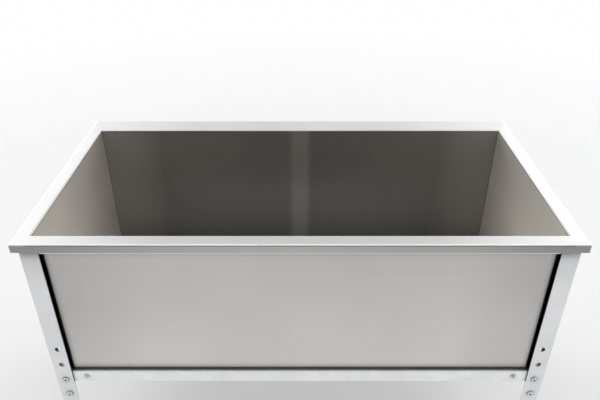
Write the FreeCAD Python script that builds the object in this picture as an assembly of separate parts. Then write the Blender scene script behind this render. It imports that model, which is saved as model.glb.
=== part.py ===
"""Deep single-bowl stainless utility sink on a bolted frame of galvanised angle.

Millimetres. +Z is up, the front faces -Y, and the origin lies on the floor under the
middle of the rim. Each sub-part is written to parts/NAME.step.
"""

import FreeCAD
import Part
import math
import os

from FreeCAD import Vector

# ---- overall size ------------------------------------------------------------------
sink_width = 1200.0
sink_depth = 626.0
sink_height = 850.0

# ---- stainless tub -----------------------------------------------------------------
bowl_depth = 392.0
rim_front = 35.0
rim_side = 33.0
rim_back = 68.0
apron_height = 20.0
tub_sheet = 1.5
tub_bend = 1.5            # inside radius of every fold

# ---- recess and hole in the bowl floor, for the waste --------------------------------
waste_x = 0.0
waste_setback = 262.0     # from the bowl's front wall to the waste
recess_radius = 66.0
recess_slope = 5.0
recess_depth = 3.0
waste_hole_radius = 45.0

# ---- galvanised legs -----------------------------------------------------------------
leg_flange = 42.5
leg_sheet = 2.5
leg_bend = 1.5
leg_side_setback = 2.5    # from the side apron's face to the leg
leg_wall_gap = 12.0       # from the tub wall's outer face to the leg's face
leg_top_clearance = 0.5
hole_from_corner = 24.0
hole_pitch = 50.0
hole_count = 4
open_hole_count = 2
rail_bolt_drop = 25.5     # from the bottom rail's top to the highest bolted hole
open_hole_radius = 6.5

# ---- galvanised rails ----------------------------------------------------------------
rail_sheet = 2.0
rail_bend = 1.0
bottom_rail_flange = 35.0
top_rail_height = 38.5
top_rail_front_flange = 23.0
top_rail_side_flange = 21.0
rail_end_gap = 2.5        # from a long rail's end to the leg's side flange
rail_butt_gap = 0.5
end_tab_width = 30.0
top_bolt_from_corner = 17.5
top_bolt_drop = 22.0

# ---- corner brackets -----------------------------------------------------------------
bracket_sheet = 2.5
bracket_bend = 1.5
bracket_reach = 92.0
bracket_height = 88.0
bracket_arm = 30.0        # height of the arms behind the rails
bracket_stem = 33.0       # width of the part behind the leg
bracket_corner = 6.0
bracket_top_clearance = 0.5
rail_screw_from_corner = 76.0
rail_screw_drop = 17.5    # from the bottom rail's top to its screw

# ---- fasteners -----------------------------------------------------------------------
fastener_clearance = 0.5  # between a shank and its hole, on the radius

leg_bolt_radius = 4.0
leg_bolt_head_radius = 7.0
leg_bolt_head_height = 4.4
leg_bolt_socket = 5.0
leg_bolt_socket_depth = 2.4
leg_nut_width = 13.0
leg_nut_height = 6.8
leg_washer_radius = 8.0
leg_washer_height = 1.6

rail_screw_radius = 3.0
rail_screw_head_radius = 5.25
rail_screw_head_height = 3.3
rail_screw_socket = 4.0
rail_screw_socket_depth = 1.8
rail_nut_width = 10.0
rail_nut_height = 5.2
rail_washer_radius = 6.0
rail_washer_height = 1.6

head_land = 0.7           # flat ring between a socket's corners and the dome
head_bulge = 0.12         # rise of the dome's arc over its chord
thread_clearance = 0.1    # between a shank and its own nut, on the radius
thread_tail = 2.0         # how far a shank stands out of its nut

# ---- feet ------------------------------------------------------------------------------
foot_setback = 21.0       # from the leg's inner faces to the stem
foot_plate_sheet = 3.0
foot_tab_height = 24.0
foot_corner_gap = 1.0     # from the leg's inside bend to the bracket
foot_boss_radius = 9.0
foot_boss_height = 12.0
stem_radius = 5.0
stem_length = 78.0
stem_clearance = 0.3
lock_nut_width = 17.0
lock_nut_height = 6.0
pad_radius = 22.0
pad_height = 14.0
pad_neck_radius = 11.0
pad_lip = 4.0
pad_edge = 1.0
pad_shoulder = 1.5
pad_seat = 5.0            # how deep the stem sits in the pad
hex_width = 13.0
hex_height = 7.0

# ---- waste -------------------------------------------------------------------------------
gasket_height = 1.0
flange_radius = 58.0
flange_sheet = 1.5
flange_edge = 1.0
flange_throat = 1.5       # fillet where the flange turns down into the cup
cup_sheet = 2.0
cup_radius = 43.5         # outside
cup_straight = 30.0
cup_depth = 52.0
cup_floor_radius = 36.0   # outside
cup_shoulder = 8.0        # fillets where the cup starts to narrow
cup_heel = 3.0            # fillets round the cup's floor
outlet_radius = 18.0
outlet_edge = 1.0
neck_radius = 23.9        # outside
neck_length = 16.0
waste_fit = 0.3           # between the cup and what is round it, on the radius
rubber_height = 3.0
ring_height = 1.0
back_nut_radius = 56.0
back_nut_height = 12.0
back_nut_collar = 3.0     # plain ring above the notches
back_nut_notch_count = 8
notch_radius = 5.0
tail_radius = 19.05       # outside
tail_sheet = 1.2
tail_length = 150.0
tail_flange_radius = 22.8
tail_flare = 0.6          # fillet under the tailpiece's flange
tail_mouth = 1.0          # fillet inside the tailpiece's mouth
tail_washer_height = 2.0
coupling_radius = 28.0
coupling_lip = 4.0        # the turned-in lip under the tailpiece's flange
coupling_gap = 3.0        # from the cup's underside to the nut
coupling_edge = 1.5
coupling_groove_count = 12
groove_radius = 1.8
groove_depth = 1.2

# ---- lift-out strainer ---------------------------------------------------------------------
basket_gap = 1.5          # between the basket's rim and the cup
basket_sheet = 0.8
basket_bend = 1.2
basket_taper = 7.0        # how much smaller its floor is than its rim, on the radius
basket_height = 34.0
basket_lip = 2.0
stopper_radius = 24.0
stopper_height = 5.0
stopper_foot = 1.5        # fillet round its lower edge
stopper_edge = 1.0
slot_count = 20
slot_width = 3.0
slot_length = 18.0
floor_hole_count = 16
floor_hole_radius = 1.8
floor_hole_gap = 1.0      # from the stopper's edge to the holes
post_radius = 3.0
knob_radius = 9.0
knob_height = 9.0
knob_rise = 16.0          # from the basket's rim to the knob's top
knob_flare = 2.7          # height over which the post widens to the knob
knob_crown = 2.0
knob_edge = 1.5

cut_margin = 1.0          # how far a cut starts and ends outside what it cuts

# ---- directions ---------------------------------------------------------------------------
up = Vector(0, 0, 1)
inward = Vector(0, 1, 0)           # from the front to the back
leftward = Vector(-1, 0, 0)

# ---- worked-out places ------------------------------------------------------------------------
front_y = -sink_depth / 2
back_y = sink_depth / 2
rim_z = sink_height
bowl_half = sink_width / 2 - rim_side
bowl_front = front_y + rim_front
bowl_back = back_y - rim_back
bowl_floor = rim_z - bowl_depth
tub_outer_half = bowl_half + tub_sheet
tub_outer_front = bowl_front - tub_sheet
tub_outer_back = bowl_back + tub_sheet
tub_underside = bowl_floor - tub_sheet
rim_underside = rim_z - tub_sheet

leg_x = sink_width / 2 - leg_side_setback          # outer face of a right-hand leg
leg_y = tub_outer_front - leg_wall_gap             # outer face of a front leg
frame_mid_y = (tub_outer_front + tub_outer_back) / 2
inner_x = leg_x - leg_sheet
inner_y = leg_y + leg_sheet
rail_back_y = inner_y + rail_sheet                 # inside face of a front rail
rail_back_x = inner_x - rail_sheet                 # inside face of a side rail
bracket_y = rail_back_y + bracket_sheet
top_rail_under = rim_underside - rail_sheet
leg_top = top_rail_under - rail_bend - leg_top_clearance
hole_x = leg_x - hole_from_corner
hole_z = [tub_underside - rail_bolt_drop + hole_pitch * (open_hole_count - i)
          for i in range(hole_count)]
bolted_z = hole_z[open_hole_count:]
top_bolt_x = leg_x - top_bolt_from_corner
top_bolt_z = rim_z - top_bolt_drop
rail_screw_x = leg_x - rail_screw_from_corner
rail_screw_y = leg_y + rail_screw_from_corner
rail_screw_z = tub_underside - rail_screw_drop
bracket_top = tub_underside - rail_sheet - rail_bend - bracket_top_clearance
long_rail_half = inner_x - rail_end_gap
leg_low = pad_height + hex_height + lock_nut_height  # the stem's hexagon meets the lock nut
foot_x = inner_x - foot_setback
foot_y = inner_y + foot_setback

waste_y = bowl_front + waste_setback
recess_floor = bowl_floor - recess_depth
recess_underside = recess_floor - tub_sheet
flange_top = recess_floor + gasket_height + flange_sheet
cup_floor = flange_top - cup_depth                 # inside floor of the cup
neck_end = cup_floor - cup_sheet - neck_length
tail_top = neck_end - tail_washer_height
nut_top = recess_underside - rubber_height - ring_height
basket_floor = cup_floor + stopper_height          # underside of the basket
basket_top = basket_floor + basket_height
basket_radius = cup_radius - cup_sheet - basket_gap


# ---- shape helpers ------------------------------------------------------------------------------
def yz(x):
    """Places a flat (u, v) point in the plane at x, with u along Y and v along Z."""
    return lambda u, v: Vector(x, u, v)


def xz(y):
    """Places a flat (u, v) point in the plane at y, with u along X and v along Z."""
    return lambda u, v: Vector(u, y, v)


def xy(z):
    """Places a flat (u, v) point in the plane at z, with u along X and v along Y."""
    return lambda u, v: Vector(u, v, z)


def turn_of(before, here, after):
    """The signed angle by which a path turns at a point, positive to the left."""
    a = math.atan2(here[1] - before[1], here[0] - before[0])
    b = math.atan2(after[1] - here[1], after[0] - here[0])
    return (b - a + math.pi) % (2 * math.pi) - math.pi


def towards(start, end, distance):
    """The point at a distance from start on the way to end."""
    length = math.hypot(end[0] - start[0], end[1] - start[1])
    share = distance / length
    return (start[0] + (end[0] - start[0]) * share, start[1] + (end[1] - start[1]) * share)


def rounded(points, radii, closed):
    """Splits a path into straight runs (2 points) and arcs (3 points), one arc at each radius."""
    pieces = []
    count = len(points)
    cursor = None
    first = None
    for i, here in enumerate(points):
        inside = closed or 0 < i < count - 1
        radius = radii[i] if inside else 0
        if radius <= 0:
            start = end = middle = here
        else:
            before = points[i - 1]
            after = points[(i + 1) % count]
            turn = abs(turn_of(before, here, after))
            start = towards(here, before, radius * math.tan(turn / 2))
            end = towards(here, after, radius * math.tan(turn / 2))
            centre_way = ((start[0] + end[0]) / 2, (start[1] + end[1]) / 2)
            reach = radius / math.cos(turn / 2) - radius
            middle = towards(here, centre_way, reach)
        if cursor is not None and math.dist(cursor, start) > 1e-6:
            pieces.append((cursor, start))
        if radius > 0:
            pieces.append((start, middle, end))
        if first is None:
            first = start
        cursor = end
    if closed and math.dist(cursor, first) > 1e-6:
        pieces.append((cursor, first))
    return pieces


def edges_of(pieces, place):
    """The runs and arcs of a path as edges in a plane."""
    edges = []
    for piece in pieces:
        spots = [place(*p) for p in piece]
        if len(spots) == 2:
            edges.append(Part.LineSegment(*spots).toShape())
        else:
            edges.append(Part.Arc(*spots).toShape())
    return edges


def outline(points, radii, place):
    """A flat face inside a closed path with rounded corners. radii is one number or a list."""
    if not isinstance(radii, (list, tuple)):
        radii = [radii] * len(points)
    return Part.Face(Part.Wire(edges_of(rounded(points, radii, True), place)))


def offset_right(points, distance):
    """The path that runs a distance to the right of an open path."""
    moved = []
    for i, here in enumerate(points):
        ways = []
        for a, b in ((i - 1, i), (i, i + 1)):
            if 0 <= a and b < len(points):
                length = math.dist(points[a], points[b])
                ways.append(((points[b][1] - points[a][1]) / length,
                             -(points[b][0] - points[a][0]) / length))
        if len(ways) == 1:
            ways.append(ways[0])
        (ax, ay), (bx, by) = ways
        scale = distance / (1 + ax * bx + ay * by)
        moved.append((here[0] + (ax + bx) * scale, here[1] + (ay + by) * scale))
    return moved


def folded_section(points, thickness, bend, place):
    """The section of folded sheet. points run along one face and the sheet lies to its right."""
    face_radii = []
    back_radii = []
    for i in range(len(points)):
        turns_left = 0 < i < len(points) - 1 and turn_of(*points[i - 1:i + 2]) > 0
        face_radii.append(bend if turns_left else bend + thickness)
        back_radii.append(bend + thickness if turns_left else bend)
    face = rounded(points, face_radii, False)
    back = rounded(offset_right(points, thickness), back_radii, False)
    back = [tuple(reversed(p)) for p in reversed(back)]
    loop = face + [(face[-1][-1], back[0][0])] + back + [(back[-1][-1], face[0][0])]
    return Part.Face(Part.Wire(edges_of(loop, place)))


def angle_section(flange_u, flange_v, thickness, bend, corner, signs, place):
    """The section of an angle whose outer corner is at corner and whose flanges point by signs."""
    points = [(flange_u, 0), (0, 0), (0, flange_v)]
    moved = lambda u, v: place(corner[0] + signs[0] * u, corner[1] + signs[1] * v)
    return folded_section(points, thickness, bend, moved)


def cylinder(radius, start, length, axis):
    """A round bar from a start point along an axis."""
    return Part.makeCylinder(radius, length, start, axis)


def turned(points, radii, centre_x, centre_y):
    """A solid of revolution about a vertical axis from a closed (radius, height) outline."""
    flat = outline(points, radii, lambda u, v: Vector(centre_x + u, centre_y, v))
    return flat.revolve(Vector(centre_x, centre_y, 0), up, 360)


def hexagon(width, start, height, axis):
    """A hexagonal bar, width across its flats, from a start point along an axis."""
    radius = width / math.sqrt(3)
    angles = [math.pi / 3 * (i + 0.5) for i in range(6)]
    corners = [(radius * math.cos(a), radius * math.sin(a)) for a in angles]
    bar = outline(corners, 0, xy(0)).extrude(Vector(0, 0, height))
    bar.Placement = FreeCAD.Placement(start, FreeCAD.Rotation(Vector(0, 0, 1), axis))
    return bar


def box(low, high):
    """A block between two opposite corners."""
    size = [b - a for a, b in zip(low, high)]
    return Part.makeBox(*size, Vector(*low))


def drill(radius, start, depth, axis):
    """The round tool that cuts a hole of a depth from a start point along an axis."""
    return cylinder(radius, start - axis * cut_margin, depth + 2 * cut_margin, axis)


def around(shape, count, centre):
    """Copies of a shape evenly spaced about the vertical through a centre."""
    copies = []
    for i in range(count):
        copy = shape.copy()
        copy.rotate(centre, up, 360.0 * i / count)
        copies.append(copy)
    return copies


def mirror_x(shape):
    """The mirror image of a shape on the other side of the sink."""
    return shape.mirror(Vector(0, 0, 0), Vector(1, 0, 0))


def mirror_y(shape):
    """The mirror image of a shape at the other side of the frame's depth."""
    return shape.mirror(Vector(0, frame_mid_y, 0), Vector(0, 1, 0))


def left_and_right(shape):
    """A right-hand shape and its mirror image on the left."""
    return {"right": shape, "left": mirror_x(shape)}


def front_and_back(shape):
    """A front shape and its mirror image at the back of the frame."""
    return {"front": shape, "back": mirror_y(shape)}


def four_corners(shape):
    """A front right shape and its mirror images at the other corners of the frame."""
    corners = {}
    for depth, piece in front_and_back(shape).items():
        for side, copy in left_and_right(piece).items():
            corners[f"{depth}_{side}"] = copy
    return corners


def group(shapes):
    """Separate solids kept together as one sub-part."""
    return Part.makeCompound(list(shapes))


# ---- tub ---------------------------------------------------------------------------------------------
def mitre_plan():
    """The plan area of the folded shell: its ends follow the mitres of walls, rims and aprons."""
    half = sink_width / 2
    right = [(half, front_y), (tub_outer_half, tub_outer_front), (bowl_half, bowl_front),
             (bowl_half, bowl_back), (tub_outer_half, tub_outer_back), (half, back_y)]
    left = [(-x, y) for x, y in reversed(right)]
    low = tub_underside - cut_margin
    return outline(right + left, 0, xy(low)).extrude(Vector(0, 0, rim_z - low))


def waste_recess():
    """The dished ring pressed into the bowl floor, down to the waste hole."""
    points = [(recess_radius, bowl_floor), (recess_radius - recess_slope, recess_floor),
              (waste_hole_radius, recess_floor)]
    points = [(recess_radius + tub_sheet, bowl_floor)] + points
    points.reverse()
    section = folded_section(points, tub_sheet, tub_bend,
                             lambda u, v: Vector(waste_x + u, waste_y, v))
    return section.revolve(Vector(waste_x, waste_y, 0), up, 360)


def tub_shell():
    """One sheet folded into apron, rim, front wall, floor, back wall, ledge and apron."""
    path = [(front_y, rim_z - apron_height), (front_y, rim_z), (bowl_front, rim_z),
            (bowl_front, bowl_floor), (bowl_back, bowl_floor), (bowl_back, rim_z),
            (back_y, rim_z), (back_y, rim_z - apron_height)]
    section = folded_section(path, tub_sheet, tub_bend, yz(-sink_width / 2))
    shell = section.extrude(Vector(sink_width, 0, 0)).common(mitre_plan())
    opening = drill(recess_radius + tub_sheet, Vector(waste_x, waste_y, tub_underside),
                    tub_sheet, up)
    return shell.cut(opening).fuse(waste_recess()).removeSplitter()


def end_panel():
    """The right-hand end: wall, side rim and side apron, mitred to the shell."""
    path = [(bowl_half, tub_underside), (bowl_half, rim_z), (sink_width / 2, rim_z),
            (sink_width / 2, rim_z - apron_height)]
    section = folded_section(path, tub_sheet, tub_bend, xz(front_y))
    panel = section.extrude(Vector(0, sink_depth, 0)).cut(mitre_plan())
    apron_z = rim_z - apron_height
    corner = tub_bend + tub_sheet
    envelope = outline(
        [(front_y, rim_z), (front_y, apron_z), (tub_outer_front, apron_z),
         (tub_outer_front, tub_underside), (tub_outer_back, tub_underside),
         (tub_outer_back, apron_z), (back_y, apron_z), (back_y, rim_z)],
        [0, 0, 0, corner, corner, 0, 0, 0], yz(0))
    return panel.common(envelope.extrude(Vector(sink_width, 0, 0)))


# ---- frame --------------------------------------------------------------------------------------------
def leg():
    """The front right leg: folded angle with a row of holes in its front flange."""
    section = angle_section(leg_flange, leg_flange, leg_sheet, leg_bend,
                            (leg_x, leg_y), (-1, 1), xy(leg_low))
    post = section.extrude(Vector(0, 0, leg_top - leg_low))
    for i, z in enumerate(hole_z):
        radius = open_hole_radius if i < open_hole_count else leg_bolt_radius + fastener_clearance
        post = post.cut(drill(radius, Vector(hole_x, leg_y, z), leg_sheet, inward))
    return post.cut(bolt_hole(top_bolt_x, top_bolt_z))


def bolt_hole(x, z):
    """The clearance hole of a leg bolt through everything behind the front leg."""
    return drill(leg_bolt_radius + fastener_clearance, Vector(x, leg_y, z),
                 leg_sheet + rail_sheet + bracket_sheet, inward)


def front_screw_hole():
    """The clearance hole of the rail screw in the front bottom rail."""
    start = Vector(rail_screw_x, inner_y, rail_screw_z)
    return drill(rail_screw_radius + fastener_clearance, start, rail_sheet + bracket_sheet,
                 inward)


def side_screw_hole():
    """The clearance hole of the rail screw in the right-hand bottom rail."""
    start = Vector(inner_x, rail_screw_y, rail_screw_z)
    return drill(rail_screw_radius + fastener_clearance, start, rail_sheet + bracket_sheet,
                 leftward)


def bottom_rail_long():
    """The front bottom rail: an angle whose upper flange carries the tub."""
    section = angle_section(bottom_rail_flange, bottom_rail_flange, rail_sheet, rail_bend,
                            (inner_y, tub_underside), (1, -1), yz(-long_rail_half))
    rail = section.extrude(Vector(2 * long_rail_half, 0, 0))
    for hole in (bolt_hole(hole_x, bolted_z[0]), front_screw_hole()):
        rail = rail.cut(hole).cut(mirror_x(hole))
    return rail


def bottom_rail_side():
    """The right-hand bottom rail, with its upper flange coped to clear the long rails."""
    start = rail_back_y + rail_butt_gap
    length = 2 * (frame_mid_y - start)
    section = angle_section(bottom_rail_flange, bottom_rail_flange, rail_sheet, rail_bend,
                            (inner_x, tub_underside), (-1, -1), xz(start))
    rail = section.extrude(Vector(0, length, 0))
    cope_depth = rail_sheet + rail_bend
    cope_end = inner_y + bottom_rail_flange + rail_butt_gap
    cope_low = (inner_x - bottom_rail_flange - cut_margin, start - cut_margin,
                tub_underside - cope_depth)
    cope_high = (inner_x + cut_margin, cope_end, tub_underside + cut_margin)
    cope = box(cope_low, cope_high)
    rail = rail.cut(cope).cut(mirror_y(cope))
    return rail.cut(side_screw_hole()).cut(mirror_y(side_screw_hole()))


def top_rail_long():
    """The front top rail: an angle whose upper flange points outwards, under the rim."""
    section = angle_section(top_rail_front_flange, top_rail_height, rail_sheet, rail_bend,
                            (rail_back_y, rim_underside), (-1, -1), yz(-long_rail_half))
    rail = section.extrude(Vector(2 * long_rail_half, 0, 0))
    hole = bolt_hole(top_bolt_x, top_bolt_z)
    return rail.cut(hole).cut(mirror_x(hole))


def top_rail_side():
    """The right-hand top rail, with end tabs that the leg's top bolts clamp."""
    length = 2 * (frame_mid_y - rail_back_y)
    section = angle_section(top_rail_side_flange, top_rail_height, rail_sheet, rail_bend,
                            (inner_x, rim_underside), (-1, -1), xz(rail_back_y))
    rail = section.extrude(Vector(0, length, 0))
    tab_low = rim_underside - top_rail_height
    tab_high = top_rail_under - rail_bend - leg_top_clearance
    tab_section = angle_section(end_tab_width, end_tab_width, rail_sheet, rail_bend,
                                (inner_x, rail_back_y), (-1, 1), xy(tab_low))
    corner_low = (inner_x - rail_sheet - rail_bend, rail_back_y - cut_margin,
                  tab_low - cut_margin)
    corner_high = (inner_x + cut_margin, rail_back_y + rail_sheet + rail_bend,
                   rim_underside + cut_margin)
    corner = box(corner_low, corner_high)
    tab = tab_section.extrude(Vector(0, 0, tab_high - tab_low))
    tab = tab.cut(bolt_hole(top_bolt_x, top_bolt_z))
    rail = rail.cut(corner).cut(mirror_y(corner))
    return rail.fuse([tab, mirror_y(tab)]).removeSplitter()


def corner_bracket():
    """The front right corner bracket: a stem behind the leg and an arm behind each rail."""
    low = bracket_top - bracket_height
    section = angle_section(bracket_reach, bracket_reach, bracket_sheet, bracket_bend,
                            (rail_back_x, rail_back_y), (-1, 1), xy(low))
    plate = section.extrude(Vector(0, 0, bracket_height))
    arm_z = bracket_top - bracket_arm
    cut_z = low - cut_margin
    reach = bracket_sheet + 2 * cut_margin
    radii = [0, bracket_corner, 0, 0]
    far_x = rail_back_x - bracket_reach - cut_margin
    stem_x = rail_back_x - bracket_stem
    under_front = outline([(far_x, arm_z), (stem_x, arm_z), (stem_x, cut_z), (far_x, cut_z)],
                          radii, xz(rail_back_y - cut_margin))
    far_y = rail_back_y + bracket_reach + cut_margin
    stem_y = rail_back_y + bracket_stem
    under_side = outline([(far_y, arm_z), (stem_y, arm_z), (stem_y, cut_z), (far_y, cut_z)],
                         radii, yz(rail_back_x - bracket_sheet - cut_margin))
    plate = plate.cut(under_front.extrude(Vector(0, reach, 0)))
    plate = plate.cut(under_side.extrude(Vector(reach, 0, 0)))
    for z in bolted_z:
        plate = plate.cut(bolt_hole(hole_x, z))
    return plate.cut(front_screw_hole()).cut(side_screw_hole())


# ---- fasteners --------------------------------------------------------------------------------------------
def button_screw(radius, head_radius, head_height, socket, socket_depth, length):
    """A domed screw along +Z: its head stands below z = 0 and its shank runs up from there."""
    flat_radius = socket / math.sqrt(3) + head_land
    width = head_radius - flat_radius
    crown = ((flat_radius + head_radius) / 2 + head_bulge * head_height,
             -head_height / 2 - head_bulge * width)
    loop = [((0, -head_height), (flat_radius, -head_height)),
            ((flat_radius, -head_height), crown, (head_radius, 0)),
            ((head_radius, 0), (radius, 0)),
            ((radius, 0), (radius, length)),
            ((radius, length), (0, length)),
            ((0, length), (0, -head_height))]
    solid = Part.Face(Part.Wire(edges_of(loop, xz(0)))).revolve(Vector(0, 0, 0), up, 360)
    recess = hexagon(socket, Vector(0, 0, -head_height - cut_margin),
                     socket_depth + cut_margin, up)
    return solid.cut(recess)


def nut(width, height, bore):
    """A hexagonal nut along +Z from z = 0."""
    base = Vector(0, 0, 0)
    return hexagon(width, base, height, up).cut(drill(bore, base, height, up))


def ring(outer, inner, height):
    """A flat ring along +Z from z = 0."""
    base = Vector(0, 0, 0)
    return cylinder(outer, base, height, up).cut(drill(inner, base, height, up))


def put(shape, start, axis):
    """A copy of a shape made along +Z, moved to a start point and turned along an axis."""
    copy = shape.copy()
    copy.Placement = FreeCAD.Placement(start, FreeCAD.Rotation(Vector(0, 0, 1), axis))
    return copy


def leg_bolt_stack(x, z, grip_end):
    """Bolt, washer and nut through a front leg, from its face to the grip's far side."""
    length = grip_end + leg_washer_height + leg_nut_height + thread_tail - leg_y
    bolt = button_screw(leg_bolt_radius, leg_bolt_head_radius, leg_bolt_head_height,
                        leg_bolt_socket, leg_bolt_socket_depth, length)
    washer = ring(leg_washer_radius, leg_bolt_radius + fastener_clearance, leg_washer_height)
    hex_nut = nut(leg_nut_width, leg_nut_height, leg_bolt_radius + thread_clearance)
    return (put(bolt, Vector(x, leg_y, z), inward),
            put(washer, Vector(x, grip_end, z), inward),
            put(hex_nut, Vector(x, grip_end + leg_washer_height, z), inward))


def rail_screw_stack(start, axis):
    """Screw, washer and nut through a bottom rail and its bracket."""
    grip = rail_sheet + bracket_sheet
    length = grip + rail_washer_height + rail_nut_height + thread_tail
    screw = button_screw(rail_screw_radius, rail_screw_head_radius, rail_screw_head_height,
                         rail_screw_socket, rail_screw_socket_depth, length)
    washer = ring(rail_washer_radius, rail_screw_radius + fastener_clearance,
                  rail_washer_height)
    hex_nut = nut(rail_nut_width, rail_nut_height, rail_screw_radius + thread_clearance)
    return (put(screw, start, axis), put(washer, start + axis * grip, axis),
            put(hex_nut, start + axis * (grip + rail_washer_height), axis))


def fasteners():
    """Every bolt, screw, washer, nut and spacer of the frame, grouped by kind."""
    top_grip = rail_back_y + rail_sheet
    leg_stacks = [leg_bolt_stack(top_bolt_x, top_bolt_z, top_grip)]
    leg_stacks += [leg_bolt_stack(hole_x, z, bracket_y) for z in bolted_z]
    rail_stacks = [
        rail_screw_stack(Vector(rail_screw_x, inner_y, rail_screw_z), inward),
        rail_screw_stack(Vector(inner_x, rail_screw_y, rail_screw_z), leftward),
    ]
    spacer = put(ring(leg_washer_radius, leg_bolt_radius + fastener_clearance, rail_sheet),
                 Vector(hole_x, inner_y, bolted_z[-1]), inward)
    kinds = {
        "leg_bolts": [stack[0] for stack in leg_stacks],
        "leg_bolt_washers": [stack[1] for stack in leg_stacks],
        "leg_bolt_nuts": [stack[2] for stack in leg_stacks],
        "rail_screws": [stack[0] for stack in rail_stacks],
        "rail_screw_washers": [stack[1] for stack in rail_stacks],
        "rail_screw_nuts": [stack[2] for stack in rail_stacks],
        "leg_spacers": [spacer],
    }
    return {name: group(copy for shape in shapes for copy in four_corners(shape).values())
            for name, shapes in kinds.items()}


# ---- feet -------------------------------------------------------------------------------------------------
def foot_bracket():
    """The plate across the front right leg's lower end, with two tabs and a threaded boss."""
    reach = leg_flange - leg_sheet
    plate_top = leg_low + foot_plate_sheet
    tab_top = leg_low + foot_tab_height
    bend_room = leg_bend + foot_corner_gap
    plate = box((inner_x - reach, inner_y, leg_low), (inner_x, inner_y + reach, plate_top))
    front_tab = box((inner_x - reach, inner_y, leg_low),
                    (inner_x - bend_room, inner_y + foot_plate_sheet, tab_top))
    side_tab = box((inner_x - foot_plate_sheet, inner_y + bend_room, leg_low),
                   (inner_x, inner_y + reach, tab_top))
    boss = cylinder(foot_boss_radius, Vector(foot_x, foot_y, plate_top), foot_boss_height, up)
    corner = box((inner_x - bend_room, inner_y, leg_low),
                 (inner_x, inner_y + bend_room, tab_top))
    bore = drill(stem_radius + stem_clearance, Vector(foot_x, foot_y, leg_low),
                 foot_plate_sheet + foot_boss_height, up)
    return plate.fuse([front_tab, side_tab, boss]).cut(corner).cut(bore).removeSplitter()


def lock_nut():
    """The nut that locks the stem, hard up under the foot bracket."""
    body = nut(lock_nut_width, lock_nut_height, stem_radius + stem_clearance)
    return put(body, Vector(foot_x, foot_y, leg_low - lock_nut_height), up)


def foot_stem():
    """The threaded stem, with a hexagon for the spanner between pad and lock nut."""
    stem = cylinder(stem_radius, Vector(foot_x, foot_y, pad_height - pad_seat), stem_length, up)
    spanner = hexagon(hex_width, Vector(foot_x, foot_y, pad_height), hex_height, up)
    return stem.fuse(spanner).removeSplitter()


def foot_pad():
    """The round foot pad, with a socket for the stem."""
    points = [(0, 0), (pad_radius, 0), (pad_radius, pad_lip), (pad_neck_radius, pad_height),
              (stem_radius, pad_height), (stem_radius, pad_height - pad_seat),
              (0, pad_height - pad_seat)]
    return turned(points, [0, pad_edge, pad_shoulder, pad_shoulder, 0, 0, 0], foot_x, foot_y)


# ---- waste --------------------------------------------------------------------------------------------------
def waste_cup():
    """The waste's flanged cup, with a threaded neck below."""
    inner = cup_radius - cup_sheet
    floor_inner = cup_floor_radius - cup_sheet
    points = [
        (flange_radius, flange_top - flange_sheet), (flange_radius, flange_top),
        (inner, flange_top), (inner, flange_top - cup_straight), (floor_inner, cup_floor),
        (outlet_radius, cup_floor), (outlet_radius, neck_end), (neck_radius, neck_end),
        (neck_radius, cup_floor - cup_sheet), (cup_floor_radius, cup_floor - cup_sheet),
        (cup_radius, flange_top - cup_straight), (cup_radius, flange_top - flange_sheet),
    ]
    radii = [0, flange_edge, flange_throat, cup_shoulder, cup_heel, outlet_edge,
             0, outlet_edge, 0, cup_heel, cup_shoulder, 0]
    return turned(points, radii, waste_x, waste_y)


def waste_ring(outer, inner, low, height):
    """A flat ring round the waste."""
    return put(ring(outer, inner, height), Vector(waste_x, waste_y, low), up)


def back_nut():
    """The large ring nut that clamps the cup to the bowl floor, with lugs round its edge."""
    low = nut_top - back_nut_height
    body = waste_ring(back_nut_radius, cup_radius + waste_fit, low, back_nut_height)
    centre = Vector(waste_x, waste_y, low)
    notch = cylinder(notch_radius, centre + Vector(back_nut_radius, 0, -cut_margin),
                     back_nut_height - back_nut_collar + cut_margin, up)
    return body.cut(around(notch, back_nut_notch_count, centre))


def tailpiece():
    """The straight outlet tube, with a turned-out flange at its top."""
    inner = tail_radius - tail_sheet
    points = [(inner, tail_top), (inner, tail_top - tail_length),
              (tail_radius, tail_top - tail_length), (tail_radius, tail_top - tail_sheet),
              (tail_flange_radius, tail_top - tail_sheet), (tail_flange_radius, tail_top)]
    return turned(points, [tail_mouth, 0, 0, tail_flare, 0, 0], waste_x, waste_y)


def coupling_nut():
    """The slip nut that pulls the tailpiece up against the neck, with grip grooves."""
    low = tail_top - tail_sheet - coupling_lip
    high = cup_floor - cup_sheet - coupling_gap
    bore = tail_radius + tail_flare + waste_fit
    points = [(bore, low), (coupling_radius, low), (coupling_radius, high),
              (neck_radius + waste_fit, high), (neck_radius + waste_fit, tail_top - tail_sheet),
              (bore, tail_top - tail_sheet)]
    body = turned(points, [0, coupling_edge, coupling_edge, 0, 0, 0], waste_x, waste_y)
    centre = Vector(waste_x, waste_y, low)
    middle = coupling_radius + groove_radius - groove_depth
    groove = drill(groove_radius, centre + Vector(middle, 0, 0), high - low, up)
    return body.cut(around(groove, coupling_groove_count, centre))


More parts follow.
